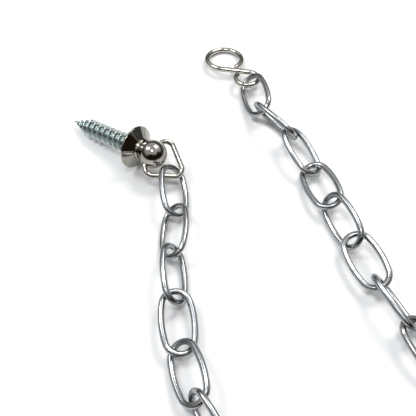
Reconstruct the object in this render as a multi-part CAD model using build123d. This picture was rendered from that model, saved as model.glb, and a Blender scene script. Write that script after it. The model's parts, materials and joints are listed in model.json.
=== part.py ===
from build123d import *
import os
from math import acos, asin, atan2, cos, degrees, radians, sin

# Door chain guard: a wood screw with a ball head, a wire shackle through the ball,
# a chain of oval links, and a figure of eight ring that hooks over the door's stud.
# Millimetres. +Z is up and the guard lies on z = 0, as it does on a table.
# The origin is at the middle of the whole guard's footprint.

# Screw, measured along its own axis from the rose's rim
screw_reach = 27.0          # rim to point, the length that goes into the frame
thread_diameter = 6.0
thread_pitch = 2.25
thread_crest = 0.24         # width of the flat on the thread's crest
thread_root_width = 1.05    # width of the thread where it meets the core
thread_sunk = 0.35          # how deep the flanks run on under the core's surface
thread_inner_radius = 0.4   # the hidden inner edge of the thread, which fills the point
core_diameter = 3.9
point_length = 8.0          # tapered gimlet point
shank_diameter = 3.2        # plain end that is pressed into the ball stud

# Rose: a turned cup that covers the screw hole
rose_diameter = 13.4
rose_height = 2.5
rose_edge = 0.45            # straight edge of the rim
rose_wall = 0.9
rose_nose = 7.0             # diameter of the small end
rose_bore_clearance = 0.05  # radial, round the shank

# Ball stud
ball_diameter = 8.8
ball_seat = 0.9             # how far the ball's back lies inside the bead
bead_diameter = 7.2
bead_thickness = 1.1
bead_round = 0.45
neck_diameter = 5.4
cross_hole_clearance = 0.1  # radial, round the shackle's wire
cross_hole_flare = 0.45     # rounding of the hole's two mouths
bore_floor = 0.5            # metal left between the shank's end and the cross hole

# Shackle: a rounded triangle of wire, its base through the ball
shackle_wire = 1.6
shackle_end_room = 3.9      # each side of the ball, out to the corner
shackle_link_room = 2.3     # ahead of the ball, beyond three link wires abreast
shackle_corner = 2.4        # bend radius on the wire's centre line

# Links: ovals of round wire with bulging sides
link_wire = 1.8
link_inner_length = 15.4
link_side_room = 1.6        # inside width, beyond three wires abreast
link_bow_drop = 0.5         # how much tighter the end bows are than half the width
link_taut_limit = 0.4       # each link lies short of taut by its wire, less this

# Hook ring: one wire bent into a figure of eight
hook_wire = 1.8
hook_ring_inner = 10.4      # hole that drops over the stud
hook_eye_inner = 6.0        # hole that holds the last link
hook_spacing = 13.7         # between the two holes' centres
hook_end_gap = 0.15         # each cut end stops this short of the crossing strand

# How the guard lies. Headings are degrees from +X, turning towards +Y.
screw_heading = -35.0       # from the point towards the ball
screw_roll = 12.0           # turns the ball's cross hole out of level
shackle_swing = 33.0        # from straight out of the screw, down towards the table
hook_heading = 124.0
hook_lean = 6.0

# One entry for each link, from the shackle to the hook ring. The heading is the
# way the link points. The lean turns it about its length, its left side upwards.
link_headings = [-84, -92, -85, -83, -73, -60, -58, -48, -28, 1, 34,
                 66, 92, 109, 120, 117, 111, 111, 107, 114, 131, 101]
link_leans = [-39, 38, -50, -10, 31, 72, 24, -22, 24, -24, 25,
              -24, 24, -26, 15, 57, -16, -57, -16, 25, 65, -39]

# Where the first link hooks into the shackle's corner, and the hook ring's eye
# over the last link, both in wire diameters
corner_along_base = -0.56
corner_inside = 1.44
corner_aside = 0.33
eye_overlap = 1.1

up = Vector(0, 0, 1)
link_inner_width = 3 * link_wire + link_side_room
thread_radius = thread_diameter / 2
core_radius = core_diameter / 2
shank_radius = shank_diameter / 2
ball_radius = ball_diameter / 2
rose_radius = rose_diameter / 2
ball_reach = rose_height + bead_thickness + ball_radius - ball_seat   # rim plane to centre
shackle_radius = shackle_wire / 2
shackle_half_base = ball_radius + shackle_end_room
shackle_height = ball_radius + 3 * link_wire + shackle_link_room
link_radius = link_wire / 2
hook_radius = hook_wire / 2
cross_hole_radius = shackle_radius + cross_hole_clearance
bore_top = ball_reach - cross_hole_radius - bore_floor


def frame_along(origin, along, lean=0.0):
    """A plane whose X runs along a direction, its Y level until the lean turns it."""
    along = along.normalized()
    level = up.cross(along).normalized()
    rise = along.cross(level)
    side = level * cos(radians(lean)) + rise * sin(radians(lean))
    return Plane(origin=origin, x_dir=along, z_dir=along.cross(side))


def round_wire(path, radius):
    """Wire of round section that follows a path."""
    section = Plane(origin=path @ 0, z_dir=path % 0) * Circle(radius)
    return sweep(section, path=path)


def heading(angle):
    return Vector(cos(radians(angle)), sin(radians(angle)), 0)


def make_screw():
    """Core with a gimlet point, a shank, and a helical thread trimmed to a cone at the point."""
    taper_start = point_length - screw_reach
    shoulder = rose_height - rose_wall
    thread_top = shoulder - thread_root_width
    core = revolve(
        Plane.XZ * make_face(Polyline(
            (0, -screw_reach),
            (core_radius, taper_start),
            (core_radius, shoulder),
            (shank_radius, shoulder),
            (shank_radius, bore_top),
            (0, bore_top),
            close=True,
        )),
        Axis.Z,
    )
    flank = (thread_root_width - thread_crest) / 2 / (thread_radius - core_radius)
    buried = core_radius - thread_sunk
    half_root = thread_root_width / 2 + flank * thread_sunk
    half_crest = thread_crest / 2
    thread_start = thread_pitch - screw_reach
    path = Pos(0, 0, thread_start) * Helix(thread_pitch, thread_top - thread_start, core_radius)
    profile = Pos(0, 0, thread_start) * (Plane.XZ * make_face(Polyline(
        (thread_inner_radius, -half_root),
        (buried, -half_root),
        (thread_radius, -half_crest),
        (thread_radius, half_crest),
        (buried, half_root),
        (thread_inner_radius, half_root),
        close=True,
    )))
    thread = sweep(profile, path=path, is_frenet=True)
    wide = 1.5 * thread_radius
    wide_height = wide * point_length / thread_radius - screw_reach
    point_cone = revolve(
        Plane.XZ * make_face(Polyline(
            (0, -screw_reach),
            (wide, wide_height),
            (wide, rose_height),
            (0, rose_height),
            close=True,
        )),
        Axis.Z,
    )
    return core + (thread & point_cone)


def make_rose():
    """Conical cup, open towards the wood, with a web that the shank passes through."""
    hole = shank_radius + rose_bore_clearance
    nose = rose_nose / 2
    inside = rose_height - rose_wall
    profile = Polyline(
        (hole, rose_height),
        (nose, rose_height),
        (rose_radius, rose_edge),
        (rose_radius, 0),
        (rose_radius - rose_wall, 0),
        (nose - rose_wall / 2, inside),
        (hole, inside),
        close=True,
    )
    return revolve(Plane.XZ * make_face(profile), Axis.Z)


def make_ball_stud():
    """Ball, neck and bead turned in one, bored for the shank and cross drilled."""
    ball = Pos(0, 0, ball_reach) * Sphere(ball_radius)
    bead = Cylinder(bead_diameter / 2, bead_thickness)
    bead = fillet(bead.edges().filter_by(GeomType.CIRCLE), bead_round)
    bead = Pos(0, 0, rose_height + bead_thickness / 2) * bead
    neck_length = ball_reach - rose_height - bead_thickness / 2
    neck = Pos(0, 0, ball_reach - neck_length / 2) * Cylinder(neck_diameter / 2, neck_length)
    hole = Pos(0, 0, ball_reach) * Rot(0, 90, 0) * Cylinder(cross_hole_radius, 2 * ball_diameter)
    drilled = ball + neck + bead - hole
    near_mouth = ball_radius - cross_hole_radius
    mouths = [edge for edge in drilled.edges() if abs(edge.center().X) > near_mouth]
    drilled = fillet(mouths, cross_hole_flare)
    bore_length = bore_top - rose_height
    return drilled - Pos(0, 0, rose_height + bore_length / 2) * Cylinder(shank_radius, bore_length)


def make_shackle():
    path = FilletPolyline(
        (-shackle_half_base, 0),
        (shackle_half_base, 0),
        (0, shackle_height),
        radius=shackle_corner,
        close=True,
    )
    return round_wire(path, shackle_radius)


def make_link():
    """Four arcs that meet smoothly: a bow at each end and a flatter arc down each side."""
    half_width = (link_inner_width + link_wire) / 2
    half_length = (link_inner_length + link_wire) / 2
    bow = half_width - link_bow_drop
    bow_centre = half_length - bow
    side_centre = (bow_centre**2 - link_bow_drop**2) / (2 * link_bow_drop)
    reach = degrees(atan2(side_centre, bow_centre))
    side = side_centre + half_width
    path = Wire([
        CenterArc((bow_centre, 0), bow, -reach, 2 * reach),
        CenterArc((0, -side_centre), side, reach, 180 - 2 * reach),
        CenterArc((-bow_centre, 0), bow, 180 - reach, 2 * reach),
        CenterArc((0, side_centre), side, 180 + reach, 180 - 2 * reach),
    ])
    return round_wire(path, link_radius)


def make_hook_ring():
    """Eye, crossing strand and ring of one wire. The eye's centre is at the origin."""
    eye = (hook_eye_inner + hook_wire) / 2
    ring = (hook_ring_inner + hook_wire) / 2
    lean = asin((eye + ring) / hook_spacing)
    normal = Vector(sin(lean), -cos(lean), 0)
    leave = normal * eye
    arrive = Vector(hook_spacing, 0, 0) - normal * ring
    start = degrees(atan2(normal.Y, normal.X))
    eye_end = degrees(acos(1 - (hook_wire + hook_end_gap) / eye))
    ring_end = degrees(acos(1 - (hook_wire + hook_end_gap) / ring))
    path = Wire([
        CenterArc((0, 0), eye, start + eye_end, 360 - eye_end),
        Line(leave, arrive),
        CenterArc((hook_spacing, 0), ring, start + 180, ring_end - 360),
    ])
    return round_wire(path, hook_radius)


# Screw, rose and ball stud: the thread and the rose's rim both touch the table
screw_pitch = atan2(rose_radius - thread_radius, screw_reach - point_length)
screw_axis = heading(screw_heading) * cos(screw_pitch) + up * sin(screw_pitch)
ball_height = rose_radius * cos(screw_pitch) + ball_reach * sin(screw_pitch)
ball_centre = Vector(0, 0, ball_height)
level_across = up.cross(screw_axis).normalized()
steep_across = screw_axis.cross(level_across)
hole_axis = level_across * cos(radians(screw_roll)) + steep_across * sin(radians(screw_roll))
root_plane = Plane(ball_centre - screw_axis * ball_reach, x_dir=hole_axis, z_dir=screw_axis)

# Shackle: its base lies on the cross hole's axis
aside = hole_axis.cross(screw_axis)
reach_out = screw_axis * cos(radians(shackle_swing)) + aside * sin(radians(shackle_swing))
shackle_plane = Plane(ball_centre, x_dir=hole_axis, z_dir=hole_axis.cross(reach_out))
half_corner = atan2(shackle_half_base, shackle_height)
corner_length = shackle_height - shackle_corner / sin(half_corner) + shackle_corner
corner_tip = ball_centre + reach_out * corner_length

# Joints between links: each is as high as the steeper of its two links needs
half_link_width = (link_inner_width + link_wire) / 2
link_heights = [link_radius + half_link_width * abs(sin(radians(lean))) for lean in link_leans]
link_step = link_inner_length - link_wire + link_taut_limit
hooked_wire = (link_wire + shackle_wire) / 2
hook_in = (
    hole_axis * corner_along_base - reach_out * corner_inside + shackle_plane.z_dir * corner_aside
) * hooked_wire
joint_heights = [max(pair) for pair in zip(link_heights, link_heights[1:])] + [link_heights[-1]]
joint_points = [corner_tip + hook_in]
for angle, height in zip(link_headings, joint_heights):
    onward = joint_points[-1] + heading(angle) * link_step
    joint_points.append(Vector(onward.X, onward.Y, height))

link_planes = [
    frame_along((near + far) / 2, far - near, lean)
    for near, far, lean in zip(joint_points, joint_points[1:], link_leans)
]

# Hook ring: its eye is held up by the last link and its far side is on the table
eye_reach = (hook_eye_inner + hook_wire) / 2 - eye_overlap * hook_wire
hook_reach = eye_reach + hook_spacing + (hook_ring_inner + hook_wire) / 2
hook_drop = asin((joint_heights[-1] - hook_radius) / hook_reach)
hook_along = heading(hook_heading) * cos(hook_drop) - up * sin(hook_drop)
hook_plane = frame_along(joint_points[-1] + hook_along * eye_reach, hook_along, hook_lean)

pieces = {
    "wood_screw": root_plane * make_screw(),
    "rose": root_plane * make_rose(),
    "ball_stud": root_plane * make_ball_stud(),
    "shackle": shackle_plane * make_shackle(),
    "hook_ring": hook_plane * make_hook_ring(),
}
link = make_link()
for number, plane in enumerate(link_planes, start=1):
    pieces[f"link_{number:02d}"] = plane * link

# Move everything so that the origin is under the middle of the whole guard
boxes = [piece.bounding_box() for piece in pieces.values()]
low = Vector(*[min(getattr(box.min, axis) for box in boxes) for axis in "XYZ"])
high = Vector(*[max(getattr(box.max, axis) for box in boxes) for axis in "XYZ"])
to_origin = Vector(-(low.X + high.X) / 2, -(low.Y + high.Y) / 2, -low.Z)
os.makedirs("parts", exist_ok=True)
for name, piece in pieces.items():
    export_step(Pos(to_origin) * piece, f"parts/{name}.step")
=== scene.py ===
# Door chain guard: wood screw with a ball head, shackle, oval link chain and figure of eight ring
import json
from math import acos, asin, atan2, cos, pi, radians, sin, sqrt

import bmesh
import bpy
import numpy as np
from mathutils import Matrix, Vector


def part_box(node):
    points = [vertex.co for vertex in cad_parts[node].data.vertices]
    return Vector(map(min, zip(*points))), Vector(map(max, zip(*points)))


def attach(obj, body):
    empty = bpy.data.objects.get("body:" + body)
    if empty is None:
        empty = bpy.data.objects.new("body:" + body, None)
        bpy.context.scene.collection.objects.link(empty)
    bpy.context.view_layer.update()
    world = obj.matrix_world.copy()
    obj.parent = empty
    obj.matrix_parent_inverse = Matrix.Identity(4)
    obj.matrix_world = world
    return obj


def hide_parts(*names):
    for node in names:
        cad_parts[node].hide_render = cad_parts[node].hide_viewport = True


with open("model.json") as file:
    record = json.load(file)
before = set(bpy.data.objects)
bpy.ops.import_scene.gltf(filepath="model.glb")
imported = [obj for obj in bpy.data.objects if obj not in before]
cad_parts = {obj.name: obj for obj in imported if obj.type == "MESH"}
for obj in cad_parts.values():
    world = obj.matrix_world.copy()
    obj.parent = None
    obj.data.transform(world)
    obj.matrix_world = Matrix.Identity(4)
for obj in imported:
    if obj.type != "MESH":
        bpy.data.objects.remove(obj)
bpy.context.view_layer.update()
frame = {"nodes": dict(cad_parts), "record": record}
record = frame["record"]
mm = 0.001

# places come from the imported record: the shackle's hinge is the ball's centre, and so on
joints = {joint["name"]: joint for joint in record["behaviour"]["joints"]}
mounts = {mount["name"]: mount for mount in record["mounts"]}


def unit(v):
    return np.asarray(v, float) / np.linalg.norm(v)


ballCentre = np.array(joints["shackle_swing"]["pos_m"])
holeAxis = unit(joints["shackle_swing"]["axis"])
screwAxis = -unit(mounts["rose_rim"]["axis"])  # from the point towards the ball
ringCentre = np.array(mounts["hook_ring_hole"]["pos_m"])
ringNormal = unit(mounts["hook_ring_hole"]["axis"])
eyeCentre = np.array(joints["hook_ring_swing"]["pos_m"])
print("frame loaded:", len(frame["nodes"]), "nodes")


view = {
    "fromBall": (16.7, -118.6, 146.6),  # millimetres
    "tilt": 56,  # degrees below level
    "lens": 53.65,
}

camera = bpy.data.objects.new("camera", bpy.data.cameras.new("camera"))
camera.data.lens = view["lens"]
camera.data.sensor_width = 36
camera.data.clip_start = 0.005
camera.location = ballCentre + np.array(view["fromBall"]) * mm
camera.rotation_euler = (radians(90 - view["tilt"]), 0, 0)
bpy.context.scene.collection.objects.link(camera)
bpy.context.scene.camera = camera
bpy.context.scene.view_settings.view_transform = "Standard"

# name, place in metres from the middle of the floor, width and length, watts, colour
softLights = [
    ("keyLight", (0.24, 0.34, 0.56), (0.26, 0.26), 2.3, (1.0, 0.99, 0.97)),
    ("fillLight", (-0.36, 0.16, 0.56), (0.20, 0.26), 1.5, (0.97, 0.985, 1.0)),
    ("topLight", (-0.06, -0.10, 0.62), (0.14, 0.08), 0.8, (1.0, 1.0, 1.0)),
]


def addSoftLights():
    aim = bpy.data.objects.new("lightAim", None)
    bpy.context.scene.collection.objects.link(aim)
    for name, place, size, watts, colour in softLights:
        light = bpy.data.lights.new(name, "AREA")
        light.shape = "RECTANGLE"
        light.size, light.size_y = size
        light.energy = watts
        light.color = colour
        lamp = bpy.data.objects.new(name, light)
        lamp.location = place
        turn = lamp.constraints.new("TRACK_TO")
        turn.target = aim
        turn.track_axis = "TRACK_NEGATIVE_Z"
        turn.up_axis = "UP_Y"
        bpy.context.scene.collection.objects.link(lamp)


# One value in a node tree. Arithmetic on it adds Math nodes, and node() adds any other node.
class Shade:
    def __init__(self, tree, socket=None):
        self.tree = tree
        self.socket = socket

    def put(self, target, value):
        if isinstance(value, Shade):
            self.tree.links.new(value.socket, target)
        elif value is not None:
            target.default_value = value

    # type of node, its own settings, then values or links for its sockets by name or number
    def node(self, kind, settings=None, sockets=None, out=0):
        made = self.tree.nodes.new(kind)
        for key, value in (settings or {}).items():
            setattr(made, key, value)
        for key, value in (sockets or {}).items():
            self.put(made.inputs[key], value)
        return Shade(self.tree, made.outputs[out])

    def maths(self, operation, *values):
        return self.node("ShaderNodeMath", {"operation": operation}, dict(enumerate(values)))

    def __add__(self, other):
        return self.maths("ADD", self, other)

    def __radd__(self, other):
        return self.maths("ADD", other, self)

    def __sub__(self, other):
        return self.maths("SUBTRACT", self, other)

    def __rsub__(self, other):
        return self.maths("SUBTRACT", other, self)

    def __mul__(self, other):
        return self.maths("MULTIPLY", self, other)

    def __rmul__(self, other):
        return self.maths("MULTIPLY", other, self)

    # rises smoothly from 0 to 1 as the value goes from low to high
    def rise(self, low, high):
        return self.node("ShaderNodeMapRange", {"interpolation_type": "SMOOTHSTEP"},
                         {"Value": self, "From Min": low, "From Max": high})

    # a vector times a plain vector, number by number
    def times(self, factors):
        return self.node("ShaderNodeVectorMath", {"operation": "MULTIPLY"}, {0: self, 1: factors})

    # one colour turning into another as the factor goes from 0 to 1
    def mix(self, colour, other, factor):
        return self.node("ShaderNodeMix", {"data_type": "RGBA"}, {0: factor, 6: colour, 7: other}, out=2)

    # from this colour to another by a factor
    def towards(self, other, factor):
        return self.mix(self, other, factor)

    def separate(self):
        split = self.node("ShaderNodeSeparateXYZ", None, {0: self})
        return [Shade(self.tree, out) for out in split.socket.node.outputs]

    def noise(self, scale=1.0, detail=3.0, rough=0.5):
        return self.node("ShaderNodeTexNoise", None,
                         {"Vector": self, "Scale": scale, "Detail": detail, "Roughness": rough})


# a metal: the Principled shader with its constants set, and the two coordinates that patterns use.
# place is Object coordinates in millimetres. grain is the piece's own attribute: distance along
# the wire or the turned profile, then the position round it, all in millimetres.
def startMetal(name):
    material = bpy.data.materials.new(name)
    material.use_nodes = True
    tree = material.node_tree
    shader = tree.nodes["Principled BSDF"]
    shader.inputs["Metallic"].default_value = 1.0
    start = Shade(tree)
    place = start.node("ShaderNodeTexCoord", out="Object").times((1000, 1000, 1000))
    grain = start.node("ShaderNodeAttribute", {"attribute_name": "grain"}, out="Vector")
    return material, shader, start, place, grain


def rgb(colour):
    return (*colour, 1.0)


linkLook = {
    "bright": (0.40, 0.405, 0.41),
    "dull": (0.25, 0.265, 0.28),
    "stain": (0.07, 0.052, 0.04),
    "roughness": 0.15,
    "streaks": 5.5,  # per millimetre round the wire
    "streakLength": 0.10,
    "rubbed": 0.09,  # roughness lost where the next link rubs
}


# drawn steel wire: fine lines along the wire, dull and brown patches, and bright rubbed bows
def makeLinkSteel(look=linkLook):
    material, shader, start, place, grain = startMetal("linkSteel")
    lines = grain.times((look["streakLength"], look["streaks"], look["streaks"])).noise(1.0, 4.0, 0.6)
    patches = place.noise(0.22, 4.0, 0.55)
    specks = place.noise(2.2, 3.0, 0.6)
    wear = start.node("ShaderNodeAttribute", {"attribute_name": "wear"}, out="Fac")
    seam = start.node("ShaderNodeAttribute", {"attribute_name": "seam"}, out="Fac")
    dull = patches.rise(0.40, 0.66) * 0.70 + lines.rise(0.35, 0.75) * 0.30
    stained = specks.rise(0.60, 0.74) * patches.rise(0.46, 0.62)
    body = start.mix(rgb(look["bright"]), rgb(look["dull"]), dull)
    body = body.towards(rgb(look["stain"]), stained * 0.75)
    body = body.towards(rgb(look["stain"]), seam * 0.85)
    start.put(shader.inputs["Base Color"], body)
    gloss = look["roughness"] + dull * 0.13 + stained * 0.22 + lines * 0.08 - wear * look["rubbed"]
    start.put(shader.inputs["Roughness"], gloss + seam * 0.3)
    relief = start.node("ShaderNodeBump", None, {
        "Strength": 0.22, "Distance": 0.00002, "Height": lines * 0.8 + specks * 0.5})
    start.put(shader.inputs["Normal"], relief)
    return material


nickelLook = {
    "clean": (0.40, 0.385, 0.355),
    "warm": (0.31, 0.29, 0.255),
    "spot": (0.07, 0.05, 0.035),
    "roughness": 0.055,
    "turning": 7.0,  # fine lathe lines per millimetre
}

# the bent wires are plated a little paler and have no lathe lines
wireLook = {
    "clean": (0.52, 0.505, 0.465),
    "warm": (0.40, 0.38, 0.335),
    "roughness": 0.08,
    "turning": 0,
}


# polished nickel plate: warm clouds, smears in the gloss, a few pits, and lathe lines on turned pieces
def makeNickel(name, look):
    material, shader, start, place, grain = startMetal(name)
    clouds = place.noise(0.35, 3.0, 0.5)
    smears = place.times((1.0, 0.35, 1.0)).noise(1.3, 5.0, 0.65)
    pits = place.noise(5.5, 2.0, 0.4)
    pitted = pits.rise(0.70, 0.78)
    body = start.mix(rgb(look["clean"]), rgb(look["warm"]), clouds.rise(0.35, 0.68))
    body = body.towards(rgb(look["spot"]), pitted * 0.6)
    start.put(shader.inputs["Base Color"], body)
    start.put(shader.inputs["Roughness"],
              look["roughness"] + smears.rise(0.45, 0.80) * 0.13 + pitted * 0.25)
    height = pits * 0.35 + smears * 0.25
    if look["turning"]:
        along = grain.separate()[0]
        height = height + start.maths("SINE", along * (look["turning"] * 2 * pi)) * 0.12
    relief = start.node("ShaderNodeBump", None, {
        "Strength": 0.10, "Distance": 0.00001, "Height": height})
    start.put(shader.inputs["Normal"], relief)
    return material


zincLook = {
    "crest": (0.60, 0.65, 0.645),
    # painted shade for the bottom of the thread valleys
    "valleyShade": (0.27, 0.34, 0.325),
    "grey": (0.42, 0.46, 0.46),
    "roughness": 0.17,
}


# bright zinc plate with a blue-green cast; the darker colour down between the threads is painted shade
def makeZinc(look=zincLook):
    material, shader, start, place, _ = startMetal("zincPlate")
    depth = start.node("ShaderNodeAttribute", {"attribute_name": "depth"}, out="Fac")
    clouds = place.noise(0.8, 4.0, 0.55)
    fine = place.noise(5.0, 3.0, 0.6)
    # painted shade: the colour darkens where the thread runs deep, down between the ridges
    body = start.mix(rgb(look["crest"]), rgb(look["valleyShade"]), depth.rise(0.15, 0.95))
    body = body.towards(rgb(look["grey"]), clouds.rise(0.45, 0.72) * 0.55)
    start.put(shader.inputs["Base Color"], body)
    start.put(shader.inputs["Roughness"], look["roughness"] + fine * 0.14 + clouds * 0.08)
    relief = start.node("ShaderNodeBump", None, {
        "Strength": 0.25, "Distance": 0.00003, "Height": fine * 0.6 + clouds * 0.6})
    start.put(shader.inputs["Normal"], relief)
    return material


floorLook = {"colour": (0.86, 0.865, 0.87), "half": 3.0}


def makeFloor():
    half = floorLook["half"]
    mesh = bpy.data.meshes.new("floor")
    corners = [(-half, -half, 0), (half, -half, 0), (half, half, 0), (-half, half, 0)]
    mesh.from_pydata(corners, [], [(0, 1, 2, 3)])
    floor = bpy.data.objects.new("floor", mesh)
    floor.location.z = -0.00002
    bpy.context.scene.collection.objects.link(floor)
    material = bpy.data.materials.new("floorPaper")
    material.use_nodes = True
    start = Shade(material.node_tree)
    shader = material.node_tree.nodes["Principled BSDF"]
    shader.inputs["Base Color"].default_value = rgb(floorLook["colour"])
    shader.inputs["Roughness"].default_value = 0.75
    shader.inputs["Specular IOR Level"].default_value = 0.15
    fibres = start.node("ShaderNodeTexCoord", out="Object").noise(900.0, 2.0)
    start.put(shader.inputs["Normal"], start.node("ShaderNodeBump", None, {
        "Strength": 0.05, "Distance": 0.00005, "Height": fibres}))
    mesh.materials.append(material)


roomLook = {
    "pale": (0.95, 0.96, 0.97),
    "brown": (0.030, 0.019, 0.013),  # low down on the near side
    "grey": (0.115, 0.12, 0.118),  # low down all round
    "strength": 0.78,
}


# a room that is pale overhead and dark low down, so that polished metal shows dark bands
def makeRoom():
    world = bpy.data.worlds.new("room")
    bpy.context.scene.world = world
    world.use_nodes = True
    tree = world.node_tree
    start = Shade(tree)
    towards = start.node("ShaderNodeTexCoord", out="Generated")
    side, far, height = towards.separate()
    ragged = (towards.noise(3.2, 3.0, 0.6) - 0.5) * 0.35
    low = 1 - (height + ragged).rise(0.34, 0.60)
    near = (side * 0.35 - far).rise(0.15, 0.55) * (1 - (height + ragged).rise(0.62, 0.80))
    dark = start.maths("MAXIMUM", low, near)
    shadow = start.mix(rgb(roomLook["grey"]), rgb(roomLook["brown"]), near)
    seenDirectly = start.node("ShaderNodeLightPath", out="Is Camera Ray")
    colour = start.mix(rgb(roomLook["pale"]), shadow, dark * (1 - seenDirectly))
    background = tree.nodes["Background"]
    start.put(background.inputs["Color"], colour)
    background.inputs["Strength"].default_value = roomLook["strength"]


# points is a grid (rows, columns, 3) in metres. Each grid cell is one face, and the grid is closed
# into a ring along its rows, its columns or both. Rows of one repeated point become poles.
# extras are named values for each grid point, kept as attributes that the materials read.
def gridPiece(name, points, material, body, extras=None, closeRows=True, closeColumns=True):
    rows, columns = points.shape[:2]
    r = np.arange(rows if closeRows else rows - 1)[:, None]
    c = np.arange(columns if closeColumns else columns - 1)[None, :]
    nextR = (r + 1) % rows
    nextC = (c + 1) % columns
    here, beyond = r * columns, nextR * columns
    faces = np.stack([here + c, here + nextC, beyond + nextC, beyond + c], -1).reshape(-1, 4)
    flat = points.reshape(-1, 3)
    a, b, d, e = (flat[faces[:, k]] - flat.mean(0) for k in range(4))
    volume = np.einsum("ij,ij->", a, np.cross(b, d)) + np.einsum("ij,ij->", a, np.cross(d, e))
    if volume < 0:
        faces = faces[:, ::-1]
    mesh = bpy.data.meshes.new(name)
    mesh.from_pydata(flat.tolist(), [], faces.tolist())
    for key, values in (extras or {}).items():
        values = np.asarray(values, float)
        kind = "FLOAT_VECTOR" if values.ndim == 3 else "FLOAT"
        layer = mesh.attributes.new(key, kind, "POINT")
        layer.data.foreach_set("vector" if kind == "FLOAT_VECTOR" else "value", values.ravel())
    tidy = bmesh.new()
    tidy.from_mesh(mesh)
    bmesh.ops.remove_doubles(tidy, verts=tidy.verts, dist=1e-8)
    tidy.to_mesh(mesh)
    tidy.free()
    mesh.polygons.foreach_set("use_smooth", [True] * len(mesh.polygons))
    mesh.materials.append(material)
    piece = bpy.data.objects.new(name, mesh)
    bpy.context.scene.collection.objects.link(piece)
    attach(piece, body)
    return piece


# points at distances s along joined arcs and straight runs in a plane. On an arc the point is
# centre + radius (cos a, sin a), with the angle a growing evenly; on a run it moves evenly.
def alongParts(parts, s):
    places = np.zeros((len(s), 2))
    done = 0.0
    for part in parts:
        length = partLength(part)
        here = s >= done - 1e-9
        t = np.clip((s[here] - done) / length, 0, 1)
        if part[0] == "arc":
            centre, radius, first, sweep = part[1:]
            a = first + sweep * t
            places[here] = np.array(centre) + radius * np.stack([np.cos(a), np.sin(a)], -1)
        else:
            p, q = np.array(part[1]), np.array(part[2])
            places[here] = p + (q - p) * t[:, None]
        done += length
    return places


def pathLength(parts):
    return sum(partLength(part) for part in parts)


def partLength(part):
    if part[0] == "arc":
        return part[2] * abs(part[4])
    return float(np.linalg.norm(np.array(part[2]) - np.array(part[1])))


# evenly spaced distances, with extra ones packed round the places named in close
def distances(length, count, close=(), reach=0.3, extra=24, ends=False):
    s = np.linspace(0, length, count, endpoint=ends)
    packed = [place + reach * np.linspace(-1, 1, extra) ** 3 for place in close]
    s = np.concatenate([s, *packed])
    s = s[(s >= 0) & (s <= length - (0 if ends else 1e-4))]
    s = np.sort(s)
    return s[np.concatenate([[True], np.diff(s) > 1e-5])]


# A round wire on a plane curve: each point is the centre line plus the wire's radius times
# (cos f) outwards in the plane and (sin f) along the plane's normal, for f once round the wire.
# radius may differ along the wire and round it.
def wirePoints(flatPath, radius, origin, x, y, around, closed=True):
    normal = np.cross(x, y)
    path = origin + (flatPath[:, :1] * x + flatPath[:, 1:] * y) * mm
    if closed:
        tangent = np.roll(path, -1, 0) - np.roll(path, 1, 0)
    else:
        tangent = np.gradient(path, axis=0)
    tangent /= np.linalg.norm(tangent, axis=1)[:, None]
    outwards = np.cross(tangent, normal)
    f = np.linspace(0, 2 * pi, around, endpoint=False)
    spokes = np.cos(f)[None, :, None] * outwards[:, None] + np.sin(f)[None, :, None] * normal
    return path[:, None] + radius[..., None] * mm * spokes


# distance along the wire, and the two coordinates across it, for patterns that run with the wire
def wireGrain(s, around, radius, shift=0.0):
    f = np.linspace(0, 2 * pi, around, endpoint=False)
    return np.stack(np.broadcast_arrays((s + shift)[:, None], radius * np.cos(f), radius * np.sin(f)), -1)


# A turned shape: each point of the profile (radius, height) is carried once round the axis.
def turnedPoints(profile, origin, axis, side, around):
    other = np.cross(axis, side)
    f = np.linspace(0, 2 * pi, around, endpoint=False)
    spokes = np.cos(f)[:, None] * side + np.sin(f)[:, None] * other
    return origin + (profile[:, None, :1] * spokes + profile[:, None, 1:] * axis) * mm


def turnedGrain(profile, around):
    steps = np.linalg.norm(np.diff(profile, axis=0), axis=1)
    run = np.concatenate([[0], np.cumsum(steps)])
    f = np.linspace(0, 2 * pi, around, endpoint=False)
    ring = profile[:, :1]
    return np.stack(np.broadcast_arrays(run[:, None], ring * np.cos(f), ring * np.sin(f)), -1)


# An outline with rounded corners: each corner is an arc of its own radius that touches both
# sides, and each straight side between arcs gets a few points so that it shades flat.
def roundedOutline(corners, radii, closed=True, arcSteps=9, sideSteps=7):
    corners = [np.array(p, float) for p in corners]
    pieces = []
    count = len(corners)
    for k, (corner, radius) in enumerate(zip(corners, radii)):
        if radius == 0 or (not closed and k in (0, count - 1)):
            pieces.append(corner[None])
            continue
        before = unit(corners[k - 1] - corner)
        after = unit(corners[(k + 1) % count] - corner)
        half = acos(np.clip(before @ after, -1, 1)) / 2
        middle = corner + unit(before + after) * radius / sin(half)
        first = corner + before * radius / np.tan(half) - middle
        last = corner + after * radius / np.tan(half) - middle
        t = np.linspace(0, 1, arcSteps)[:, None]
        turn = pi - 2 * half
        arc = (np.sin((1 - t) * turn) * first + np.sin(t * turn) * last) / sin(turn)
        pieces.append(middle + arc)
    outline = []
    for k, piece in enumerate(pieces):
        outline.append(piece)
        if closed or k < count - 1:
            start, end = piece[-1], pieces[(k + 1) % count][0]
            t = np.linspace(0, 1, sideSteps + 2)[1:-1, None]
            outline.append(start + (end - start) * t)
    return np.concatenate(outline)


screw = {
    "reach": 27.0,  # rim of the rose to the point
    "crest": 3.0,
    "core": 1.95,
    "pitch": 2.25,
    "crestHalf": 0.11,
    "rootHalf": 0.50,
    "point": 8.0,
    "shank": 1.6,
    "shoulder": 1.6,  # above the rim's plane
    "top": 2.45,
    "bulge": 0.10,  # how much fuller than a cone the point is
    "startHigh": 0.9,  # the thread starts this far above the tip
    "startRun": 1.6,  # and is full height after this much more
    "endShort": 0.2,  # the thread stops this far below the shoulder
    "endRun": 1.2,
    "soft": 0.35,  # share of the ridge's height that is rounded
    "rowsPerTurn": 26,
    "around": 72,
}

rimAhead = 7.1  # from the rose's rim plane to the ball's centre, in millimetres like the sizes below


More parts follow.
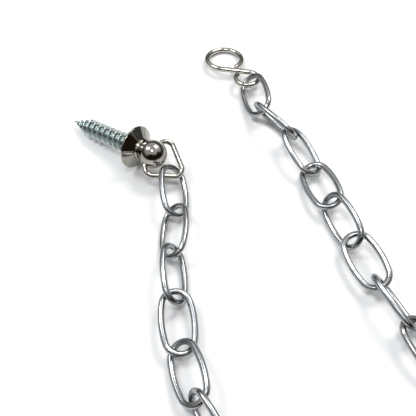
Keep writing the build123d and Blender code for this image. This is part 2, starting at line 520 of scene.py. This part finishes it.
# The thread is a height field wrapped round the axis: the radius is the core plus a ridge that
# depends only on how far a point is from the crest's helix, and both shrink to the point.
# The grid's rows follow the helix, so row i at angle f is i rows up plus f / 2 pi of a turn.
def makeScrew(material):
    rows = int((screw["reach"] + screw["top"]) / screw["pitch"] * screw["rowsPerTurn"])
    i = np.arange(-screw["rowsPerTurn"] - 4, rows + 4)[:, None]
    f = np.linspace(0, 2 * pi, screw["around"] + 1)[None, :]
    climb = (i / screw["rowsPerTurn"] + f / (2 * pi)) * screw["pitch"] - screw["reach"]
    height = np.clip(climb, -screw["reach"], screw["top"])
    phase = (i / screw["rowsPerTurn"]) % 1
    away = np.minimum(phase, 1 - phase) * screw["pitch"] + 0 * f
    ridge = np.clip((screw["rootHalf"] - away) / (screw["rootHalf"] - screw["crestHalf"]), 0, 1)
    rounded = ridge * ridge * (3 - 2 * ridge)
    ridge = rounded * screw["soft"] + ridge * (1 - screw["soft"])
    taper = np.clip((height + screw["reach"]) / screw["point"], 0, 1)
    taper = taper * (1 + screw["bulge"] * (1 - taper))
    aboveTip = height + screw["reach"] - screw["startHigh"]
    ridge = ridge * np.clip(aboveTip / screw["startRun"], 0, 1)
    belowShoulder = screw["shoulder"] - screw["endShort"] - height
    fade = np.clip(belowShoulder / screw["endRun"], 0, 1)
    radius = (screw["core"] + (screw["crest"] - screw["core"]) * ridge * fade) * taper
    radius = np.where(height > screw["shoulder"], screw["shank"], radius)
    radius = np.where(climb > screw["top"] + screw["pitch"] / screw["rowsPerTurn"], 0, radius)
    rim = ballCentre - screwAxis * rimAhead * mm
    side = np.cross(screwAxis, holeAxis)
    spokes = np.cos(f)[..., None] * holeAxis + np.sin(f)[..., None] * side
    points = rim + (radius[..., None] * spokes + height[..., None] * screwAxis) * mm
    grain = np.stack([height, radius * np.cos(f), radius * np.sin(f)], -1)
    # depth is 1 at the bottom of each thread valley, where the zinc material paints shade
    piece = gridPiece("woodScrew", points, material, "screw_end",
                      {"grain": grain, "depth": 1 - ridge}, closeRows=False, closeColumns=False)
    closeSeams(piece)
    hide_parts("wood_screw")


# joins the edges that meet along a seam
def closeSeams(piece, reach=2e-7):
    tidy = bmesh.new()
    tidy.from_mesh(piece.data)
    bmesh.ops.remove_doubles(tidy, verts=tidy.verts, dist=reach)
    bmesh.ops.dissolve_degenerate(tidy, edges=tidy.edges, dist=1e-8)
    tidy.to_mesh(piece.data)
    tidy.free()


rose = {
    "rim": 6.7,
    "height": 2.5,
    "edge": 0.45,
    "wall": 0.9,
    "nose": 3.5,
    "bore": 1.65,
    "round": 0.16,
    "around": 160,
}


# a spun cup: straight cone, thin upright edge, hollow behind
def makeRose(material):
    wall, height = rose["wall"], rose["height"]
    corners = [
        (rose["bore"], height), (rose["nose"], height), (rose["rim"], rose["edge"]), (rose["rim"], 0),
        (rose["rim"] - wall, 0), (rose["nose"] - wall / 2, height - wall), (rose["bore"], height - wall),
    ]
    outline = roundedOutline(corners, [0.05, rose["round"], rose["round"], 0.12, 0.12, 0.4, 0.05])
    rim = ballCentre - screwAxis * rimAhead * mm
    points = turnedPoints(outline, rim, screwAxis, holeAxis, rose["around"])
    piece = gridPiece("rose", points, material, "screw_end", {"grain": turnedGrain(outline, rose["around"])})
    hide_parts("rose")


ballStud = {
    "ball": 4.4,
    "hole": 0.9,
    "mouth": 0.45,
    "bead": 3.6,
    "beadFoot": 2.5,  # above the rim's plane
    "beadTop": 3.6,
    "beadRound": 0.42,
    "neck": 2.7,
    "neckEnd": 4.9,
    "around": 144,
}


# The ball is turned about the axis of its own cross hole: the sphere's arc, then a rounded
# mouth that touches both sphere and hole, then the hole's wall, and the same again in reverse.
def makeBall(material):
    big, hole, mouth = ballStud["ball"], ballStud["hole"], ballStud["mouth"]
    ahead = sqrt((big - mouth) ** 2 - (hole + mouth) ** 2)
    meets = atan2(hole + mouth, ahead)
    arc = np.linspace(meets, pi - meets, 90)
    sphere = np.stack([big * np.sin(arc), big * np.cos(arc)], -1)
    turn = np.linspace(meets, -pi / 2, 12)[1:]
    lip = np.stack([hole + mouth + mouth * np.sin(turn), ahead + mouth * np.cos(turn)], -1)
    wall = np.stack([np.full(9, hole), np.linspace(-ahead, ahead, 11)[1:-1]], -1)
    outline = np.concatenate([sphere, lip * (1, -1), wall, lip[::-1]])
    points = turnedPoints(outline, ballCentre, holeAxis, screwAxis, ballStud["around"])
    grain = turnedGrain(outline, ballStud["around"])
    piece = gridPiece("ball", points, material, "screw_end", {"grain": grain})
    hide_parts("ball_stud")


# the bead under the ball and the neck that runs up into it
def makeBead(material):
    corners = [
        (0, ballStud["beadFoot"]), (ballStud["bead"], ballStud["beadFoot"]),
        (ballStud["bead"], ballStud["beadTop"]), (ballStud["neck"], ballStud["beadTop"]),
        (ballStud["neck"], ballStud["neckEnd"]), (0, ballStud["neckEnd"]),
    ]
    bend = ballStud["beadRound"]
    outline = roundedOutline(corners, [0, bend, bend, 0.25, 0.1, 0], closed=False, arcSteps=11)
    rim = ballCentre - screwAxis * rimAhead * mm
    points = turnedPoints(outline, rim, screwAxis, holeAxis, ballStud["around"])
    piece = gridPiece("bead", points, material, "screw_end",
                      {"grain": turnedGrain(outline, ballStud["around"])}, closeRows=False)


shackle = {
    "wire": 0.8,
    "halfBase": 8.3,
    "height": 12.1,
    "corner": 2.4,
    "around": 28,
    "samples": 300,
}


# The shackle's centre line is a triangle with its three corners bent to one radius. The base
# runs through the ball along the hole's axis, and the middle of the CAD node shows the way out.
def makeShackle(material):
    middle = np.mean(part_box("shackle"), axis=0) - ballCentre
    out = unit(middle - (middle @ holeAxis) * holeAxis)
    out = shackleDirection(out)
    half, height, bend = shackle["halfBase"], shackle["height"], shackle["corner"]
    baseAngle = atan2(height, half)
    topHalf = pi / 2 - baseAngle
    trim = bend / np.tan(baseAngle / 2)
    topTrim = bend / np.tan(topHalf)
    leg = np.array([cos(baseAngle), sin(baseAngle)])
    low = np.array([half, 0.0])
    high = np.array([0.0, height])
    upward = leg * (-1, 1)
    sweep = pi - baseAngle
    topSweep = pi - 2 * topHalf
    parts = [
        ("run", (0.0, 0.0), (half - trim, 0.0)),
        ("arc", (half - trim, bend), bend, -pi / 2, sweep),
        ("run", low + upward * trim, high - upward * topTrim),
        ("arc", (0.0, height - bend / sin(topHalf)), bend, -pi / 2 + sweep, topSweep),
        ("run", (-1, 1) * (high - upward * topTrim), (-1, 1) * (low + upward * trim)),
        ("arc", (trim - half, bend), bend, -pi / 2 + sweep + topSweep, sweep),
        ("run", (trim - half, 0.0), (0.0, 0.0)),
    ]
    s = distances(pathLength(parts), shackle["samples"])
    path = alongParts(parts, s)
    radius = np.full((len(s), 1), shackle["wire"])
    points = wirePoints(path, radius, ballCentre, holeAxis, out, shackle["around"])
    piece = gridPiece("shackle", points, material, "shackle",
                      {"grain": wireGrain(s, shackle["around"], shackle["wire"])})
    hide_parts("shackle")


# vertices of a CAD node, as an array
def nodePoints(name):
    mesh = frame["nodes"][name].data
    flat = np.empty(len(mesh.vertices) * 3)
    mesh.vertices.foreach_get("co", flat)
    return flat.reshape(-1, 3)


# the shackle's plane holds the hole's axis and the vertex that is furthest from it
def shackleDirection(guess):
    away = nodePoints("shackle") - ballCentre
    away = away - np.outer(away @ holeAxis, holeAxis)
    far = away[np.argsort(away @ guess)[-40:]].mean(0)
    return unit(far)


link = {
    "wire": 0.9,
    "innerLength": 15.4,
    "innerWidth": 7.0,
    "bowDrop": 0.5,
    "seamAt": 3.1,  # millimetres round the bow from its middle
    "seamDeep": 0.30,  # share of the wire's radius
    "seamHalf": 0.07,
    "bowThin": 0.025,  # the bend stretches the wire a little
    "around": 26,
    "samples": 210,
}


# middle, long direction and flat normal of a link, from the way its CAD node's surface spreads
def linkPlane(name):
    data = frame["nodes"][name].data
    points = nodePoints(name)
    corners = np.empty(len(data.loop_triangles) * 3, int)
    data.loop_triangles.foreach_get("vertices", corners)
    a, b, c = (points[corners.reshape(-1, 3)[:, k]] for k in range(3))
    area = np.linalg.norm(np.cross(b - a, c - a), axis=1)
    centres = (a + b + c) / 3
    middle = (centres * area[:, None]).sum(0) / area.sum()
    spread = (centres - middle).T @ ((centres - middle) * area[:, None])
    directions = np.linalg.eigh(spread)[1]
    return middle, directions[:, 2], directions[:, 0]


# A link is four arcs that meet smoothly: a tight bow at each end and a flatter arc down each side.
# The wire is thinned a little round the bows, and notched all round where its ends were butted.
def makeLink(number, before, after, material):
    name = f"link_{number:02d}"
    middle, along, normal = linkPlane(name)
    along = along * np.sign(along @ (after - before))
    normal = normal * np.sign(normal[2])
    across = np.cross(normal, along)
    halfWidth = link["innerWidth"] / 2 + link["wire"]
    bow = halfWidth - link["bowDrop"]
    bowCentre = link["innerLength"] / 2 + link["wire"] - bow
    sideCentre = (bowCentre**2 - link["bowDrop"] ** 2) / (2 * link["bowDrop"])
    reach = atan2(sideCentre, bowCentre)
    side = sideCentre + halfWidth
    near = 1 if along[1] < 0 else -1  # the seam is in the bow that is nearer the front
    parts = linkParts(bow, bowCentre, side, sideCentre, reach, near, link["seamAt"] / bow)
    total = pathLength(parts)
    seamSteps = link["seamHalf"] * np.linspace(-4, 4, 33) % total
    s = np.unique(np.concatenate([distances(total, link["samples"]), seamSteps]))
    path = alongParts(parts, s)
    seamAway = np.minimum(s, total - s)
    notch = np.exp(-(seamAway / link["seamHalf"]) ** 2)
    bowAway = (bowCentre + bow - np.abs(path[:, 0])) / bow
    inBow = np.clip(1 - bowAway, 0, 1)
    f = np.linspace(0, 2 * pi, link["around"], endpoint=False)
    radius = link["wire"] * (1 - link["seamDeep"] * notch - link["bowThin"] * inBow)[:, None] + 0 * f
    points = wirePoints(path, radius, middle, along, across, link["around"])
    inner = np.clip(-windingSign(path) * np.cos(f), 0, 1)
    extras = {
        "grain": wireGrain(s, link["around"], link["wire"], 60.0 * number),
        "wear": (inBow**3)[:, None] * inner,
        "seam": notch[:, None] + 0 * f,
    }
    piece = gridPiece("chainLink" + name[-2:], points, material, name, extras)
    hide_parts(name)


# starts and ends at the seam, in the bow at the end named by near
def linkParts(bow, bowCentre, side, sideCentre, reach, near, seam):
    turn = 0.0 if near > 0 else pi
    x, y = near * bowCentre, near * sideCentre
    return [
        ("arc", (x, 0.0), bow, turn + seam, reach - seam),
        ("arc", (0.0, -y), side, turn + reach, pi - 2 * reach),
        ("arc", (-x, 0.0), bow, turn + pi - reach, 2 * reach),
        ("arc", (0.0, y), side, turn + pi + reach, pi - 2 * reach),
        ("arc", (x, 0.0), bow, turn - reach, reach + seam),
    ]


# 1 when a closed plane path turns left, -1 when it turns right
def windingSign(path):
    x, y = path.T
    return np.sign(np.sum(x * np.roll(y, -1) - np.roll(x, -1) * y))


def makeChain(material):
    names = sorted(name for name in frame["nodes"] if name.startswith("link_"))
    middles = [np.mean(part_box(name), axis=0) for name in names]
    line = [ballCentre, *middles, eyeCentre]
    for number in range(1, len(names) + 1):
        makeLink(number, line[number - 1], line[number + 1], material)
    print("chain:", len(names), "links")


hook = {
    "wire": 0.9,
    "eye": 3.9,  # to the wire's centre line
    "ring": 6.1,
    "endGap": 0.15,
    "endRound": 0.18,
    "around": 32,
    "samples": 420,
}


# One wire: round the eye, straight across to the ring, and round the ring. Each cut end stops
# just short of the crossing strand, and is a flat disc with a small rounded edge.
def makeHookRing(material):
    along = unit(ringCentre - eyeCentre)
    spacing = np.linalg.norm(ringCentre - eyeCentre) / mm
    across = np.cross(ringNormal, along)
    eye, ring, wire = hook["eye"], hook["ring"], hook["wire"]
    lean = asin((eye + ring) / spacing)
    normal = np.array([sin(lean), -cos(lean)])
    startAngle = atan2(normal[1], normal[0])
    eyeOpen = acos(1 - (2 * wire + hook["endGap"]) / eye)
    ringOpen = acos(1 - (2 * wire + hook["endGap"]) / ring)
    parts = [
        ("arc", (0.0, 0.0), eye, startAngle + eyeOpen, 2 * pi - eyeOpen),
        ("run", normal * eye, np.array([spacing, 0.0]) - normal * ring),
        ("arc", (spacing, 0.0), ring, startAngle + pi, ringOpen - 2 * pi),
    ]
    total = pathLength(parts)
    s = distances(total, hook["samples"], close=(0.0, total), reach=0.4, ends=True)
    path = alongParts(parts, s)
    edge = hook["endRound"]
    inset = np.clip(1 - np.minimum(s, total - s) / edge, 0, 1)
    radius = wire - edge * (1 - np.sqrt(1 - inset**2))
    path = np.concatenate([path[:1], path, path[-1:]])
    radius = np.concatenate([[0], radius, [0]])
    s = np.concatenate([s[:1], s, s[-1:]])
    points = wireWithEnds(path, radius, eyeCentre, along, across)
    piece = gridPiece("hookRing", points, material, "hook_ring",
                      {"grain": wireGrain(s, hook["around"], wire)}, closeRows=False)
    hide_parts("hook_ring")


# the first and last rows repeat their neighbours' place, so their direction is copied too
def wireWithEnds(path, radius, origin, x, y):
    body = wirePoints(path[1:-1], radius[1:-1, None], origin, x, y, hook["around"], closed=False)
    ends = [origin + (path[k, 0] * x + path[k, 1] * y) * mm for k in (0, -1)]
    caps = [np.broadcast_to(end, body[:1].shape) for end in ends]
    return np.concatenate([caps[0], body, caps[1]])


addSoftLights()
makeRoom()
makeFloor()
linkSteel = makeLinkSteel()
nickelTurned = makeNickel("nickelTurned", nickelLook)
nickelWire = makeNickel("nickelWire", {**nickelLook, **wireLook})
zinc = makeZinc()
makeScrew(zinc)
makeRose(nickelTurned)
makeBall(nickelTurned)
makeBead(nickelTurned)
print("screw end: screw, rose, ball and bead")
makeShackle(nickelWire)
makeChain(linkSteel)
makeHookRing(nickelWire)
print("shackle and hook ring done")
